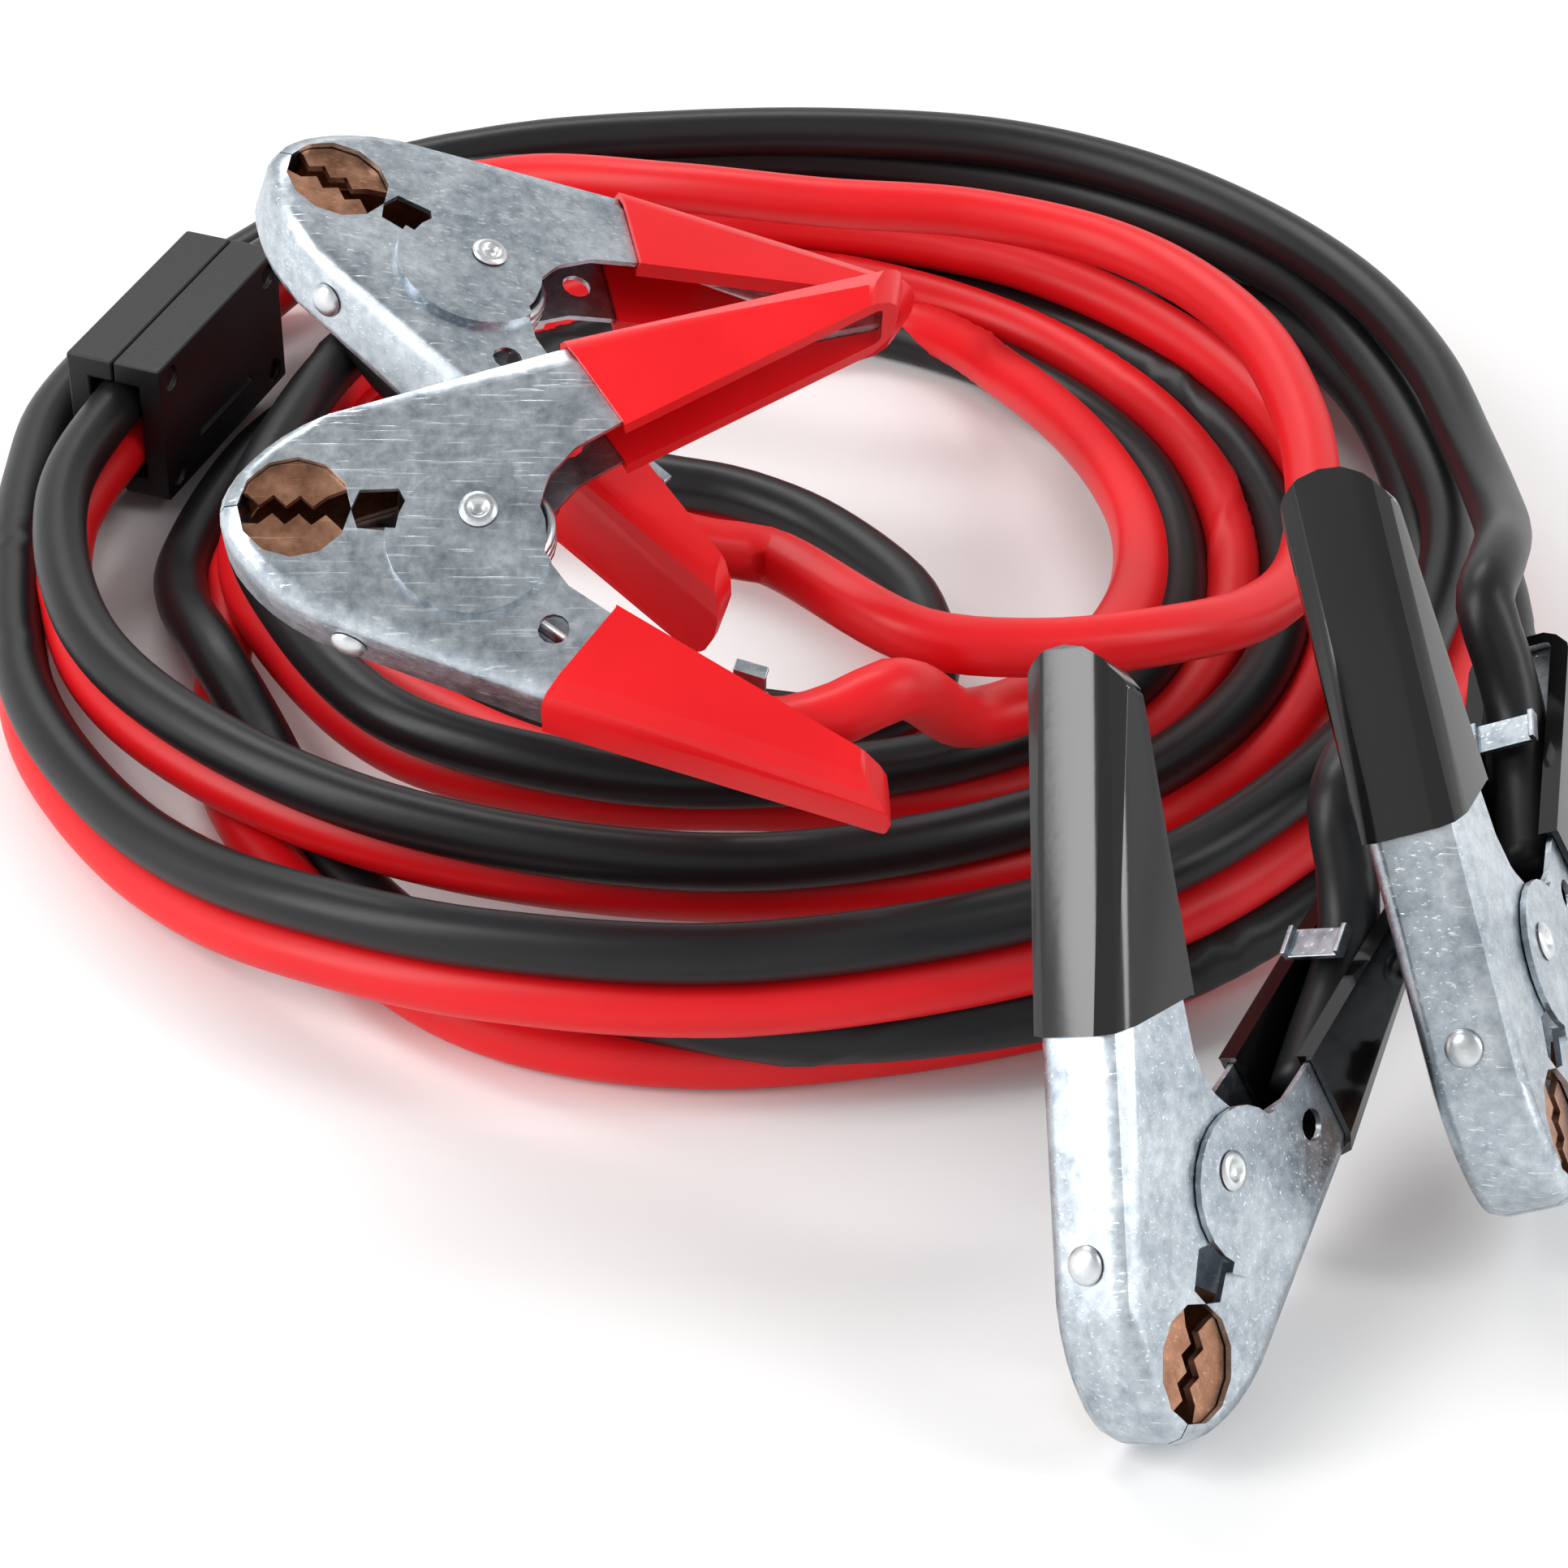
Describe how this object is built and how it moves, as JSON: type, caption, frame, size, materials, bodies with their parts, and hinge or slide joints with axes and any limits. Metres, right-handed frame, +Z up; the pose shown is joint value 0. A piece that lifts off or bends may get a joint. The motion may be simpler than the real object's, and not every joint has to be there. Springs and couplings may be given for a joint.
{
  "type": "car jumper cable",
  "caption": "Coiled twin jumper cable with pressed-steel spring clamps, copper jaws, vinyl grips and a moulded in-line block.",
  "frame": {"origin": "floor level, under the middle of the clamps and the block taken together", "axes": "+Z up, +X to the right and -Y towards the viewer of the picture"},
  "size_m": [0.3603, 0.4716, 0.144],
  "materials": {
    "zinc_steel": "zinc plated, mottled and finely scratched",
    "rivet_steel": "bright plated",
    "spring_steel": "plated spring wire",
    "copper": "copper plated, rubbed",
    "red_vinyl": "glossy soft vinyl",
    "black_vinyl": "glossy soft vinyl",
    "block_plastic": "moulded satin plastic",
    "red_pvc": "satin cable sheath",
    "black_pvc": "satin cable sheath"
  },
  "bodies": {
    "cable_set": {"red_front_cable_half": "zinc_steel", "red_front_cable_grip": "red_vinyl", "red_front_cable_jaw": "copper", "red_front_cable_jaw_rivet": "rivet_steel", "red_front_pivot_rivet": "rivet_steel", "red_front_spring": "spring_steel", "red_front_cable_clip": "zinc_steel", "red_rear_cable_half": "zinc_steel", "red_rear_cable_grip": "red_vinyl", "red_rear_cable_jaw": "copper", "red_rear_cable_jaw_rivet": "rivet_steel", "red_rear_pivot_rivet": "rivet_steel", "red_rear_spring": "spring_steel", "red_rear_cable_clip": "zinc_steel", "black_front_cable_half": "zinc_steel", "black_front_cable_grip": "black_vinyl", "black_front_cable_jaw": "copper", "black_front_cable_jaw_rivet": "rivet_steel", "black_front_pivot_rivet": "rivet_steel", "black_front_spring": "spring_steel", "black_front_cable_clip": "zinc_steel", "black_rear_cable_half": "zinc_steel", "black_rear_cable_grip": "black_vinyl", "black_rear_cable_jaw": "copper", "black_rear_cable_jaw_rivet": "rivet_steel", "black_rear_pivot_rivet": "rivet_steel", "black_rear_spring": "spring_steel", "black_rear_cable_clip": "zinc_steel", "block_cover": "block_plastic", "block_base": "block_plastic", "coil": "black_pvc", "red_front_lead": "red_pvc", "red_rear_lead": "red_pvc", "black_front_lead": "black_pvc", "black_rear_lead": "black_pvc"},
    "red_front_lever": {"red_front_free_half": "zinc_steel", "red_front_free_grip": "red_vinyl", "red_front_free_jaw": "copper", "red_front_free_jaw_rivet": "rivet_steel"},
    "red_rear_lever": {"red_rear_free_half": "zinc_steel", "red_rear_free_grip": "red_vinyl", "red_rear_free_jaw": "copper", "red_rear_free_jaw_rivet": "rivet_steel"},
    "black_front_lever": {"black_front_free_half": "zinc_steel", "black_front_free_grip": "black_vinyl", "black_front_free_jaw": "copper", "black_front_free_jaw_rivet": "rivet_steel"},
    "black_rear_lever": {"black_rear_free_half": "zinc_steel", "black_rear_free_grip": "black_vinyl", "black_rear_free_jaw": "copper", "black_rear_free_jaw_rivet": "rivet_steel"}
  },
  "joints": [
    {"name": "red_front_pivot", "type": "hinge", "parent": "cable_set", "child": "red_front_lever", "pos_m": [-0.06241, -0.02743, 0.10631], "axis": [-0.0154, 0.5116, -0.8591], "range_deg": [0, 30], "stiffness_Nm_per_rad": 2, "springref_deg": -57.3, "deforming": ["red_front_spring"]},
    {"name": "red_rear_pivot", "type": "hinge", "parent": "cable_set", "child": "red_rear_lever", "pos_m": [-0.06851, 0.07027, 0.10781], "axis": [-0.3033, 0.2093, -0.9296], "range_deg": [0, 30], "stiffness_Nm_per_rad": 2, "springref_deg": -57.3, "deforming": ["red_rear_spring"]},
    {"name": "black_front_pivot", "type": "hinge", "parent": "cable_set", "child": "black_front_lever", "pos_m": [0.08059, -0.15423, 0.03991], "axis": [-0.752, 0.4868, -0.4443], "range_deg": [0, 30], "stiffness_Nm_per_rad": 2, "springref_deg": -57.3, "deforming": ["black_front_spring"]},
    {"name": "black_rear_pivot", "type": "hinge", "parent": "cable_set", "child": "black_rear_lever", "pos_m": [0.14709, -0.09823, 0.04961], "axis": [-0.8729, 0.1962, -0.4468], "range_deg": [0, 30], "stiffness_Nm_per_rad": 2, "springref_deg": -57.3, "deforming": ["black_rear_spring"]}
  ]
}
